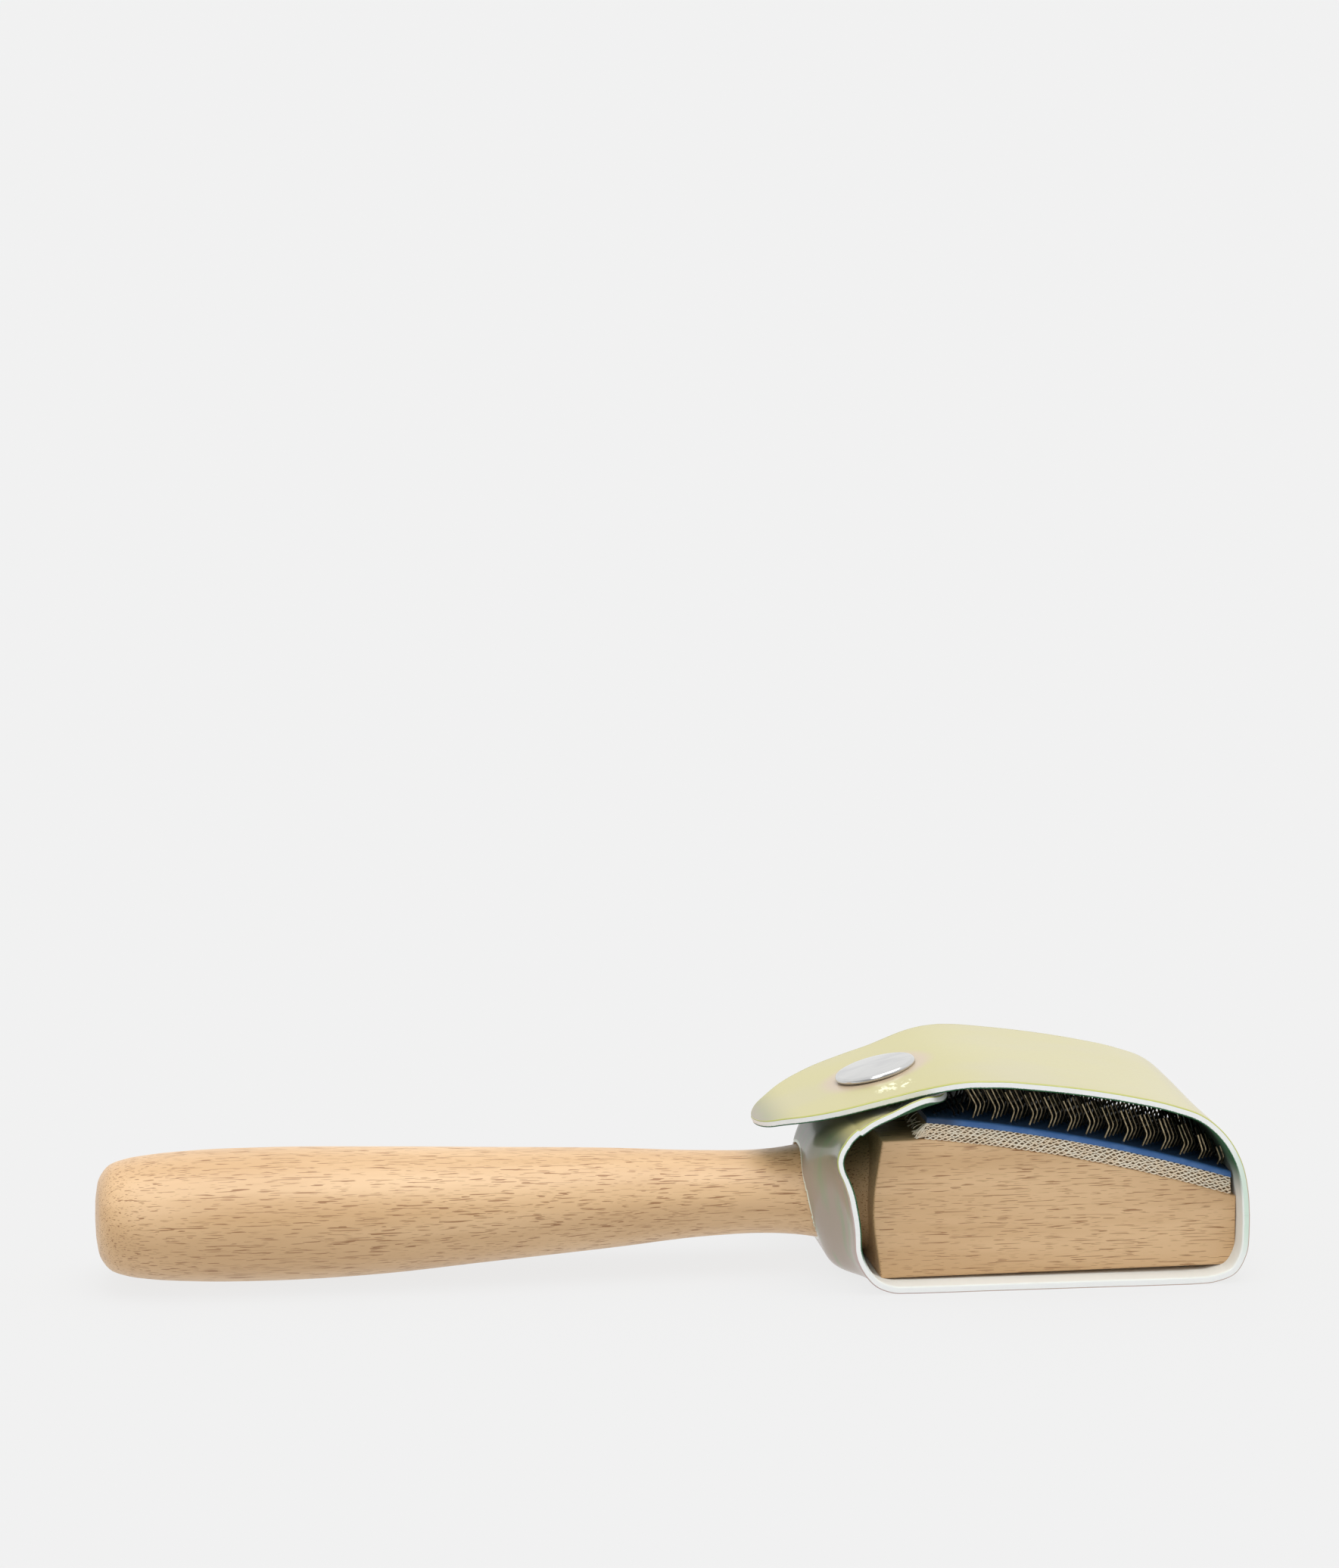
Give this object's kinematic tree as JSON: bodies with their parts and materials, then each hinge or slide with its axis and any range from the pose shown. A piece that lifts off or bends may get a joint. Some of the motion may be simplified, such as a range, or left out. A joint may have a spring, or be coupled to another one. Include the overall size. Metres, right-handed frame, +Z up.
{
  "type": "hand carding brush",
  "caption": "Hand carding brush: one-piece wooden handle and wedge head with bent-wire card clothing, wrapped in a snap-closed sheet cover.",
  "frame": {"origin": "middle of the footprint, on the surface that the brush lies on", "axes": "+X from the handle's butt to the brush head along the length, +Y across, +Z up from the resting surface, teeth upward"},
  "size_m": [0.1713, 0.042, 0.0321],
  "materials": {
    "beech": "smooth sanded, thinly oiled",
    "canvas": "woven, glued plies",
    "blue_rubber": "satin",
    "steel_wire": "drawn wire",
    "vinyl_sheet": "pearl film on a pale fibre backing",
    "chrome_plate": "polished"
  },
  "bodies": {
    "brush": {"wooden_body": "beech", "canvas_ply_1": "canvas", "canvas_ply_2": "canvas", "canvas_ply_3": "canvas", "canvas_ply_4": "canvas", "rubber_facing": "blue_rubber", "tooth_row_01": "steel_wire", "tooth_row_02": "steel_wire", "tooth_row_03": "steel_wire", "tooth_row_04": "steel_wire", "tooth_row_05": "steel_wire", "tooth_row_06": "steel_wire", "tooth_row_07": "steel_wire", "tooth_row_08": "steel_wire", "tooth_row_09": "steel_wire", "tooth_row_10": "steel_wire", "tooth_row_11": "steel_wire", "tooth_row_12": "steel_wire", "tooth_row_13": "steel_wire", "tooth_row_14": "steel_wire", "tooth_row_15": "steel_wire", "tooth_row_16": "steel_wire", "cover_base": "vinyl_sheet"},
    "front_wall": {"front_wall": "vinyl_sheet"},
    "outer_flap": {"outer_flap": "vinyl_sheet", "snap_cap": "chrome_plate", "snap_socket": "chrome_plate", "snap_spring": "steel_wire"},
    "inner_flap": {"inner_flap": "vinyl_sheet", "snap_stud": "chrome_plate", "snap_eyelet": "chrome_plate"}
  },
  "joints": [
    {"name": "front_wall_fold", "type": "hinge", "parent": "brush", "child": "front_wall", "pos_m": [0.08365, 0, 0.0015], "axis": [0, 1, 0], "range_deg": [0, 74]},
    {"name": "outer_flap_open", "type": "hinge", "parent": "front_wall", "child": "outer_flap", "pos_m": [0.08315, 0, 0.0206], "axis": [0, 1, 0], "range_deg": [0, 95]},
    {"name": "inner_flap_open", "type": "hinge", "parent": "brush", "child": "inner_flap", "pos_m": [0.0247, 0, 0.0233], "axis": [0, -1, 0], "range_deg": [0, 95]}
  ],
  "couplings": [
    {"joint": "inner_flap_open", "follows": "outer_flap_open", "ratio": 1}
  ]
}
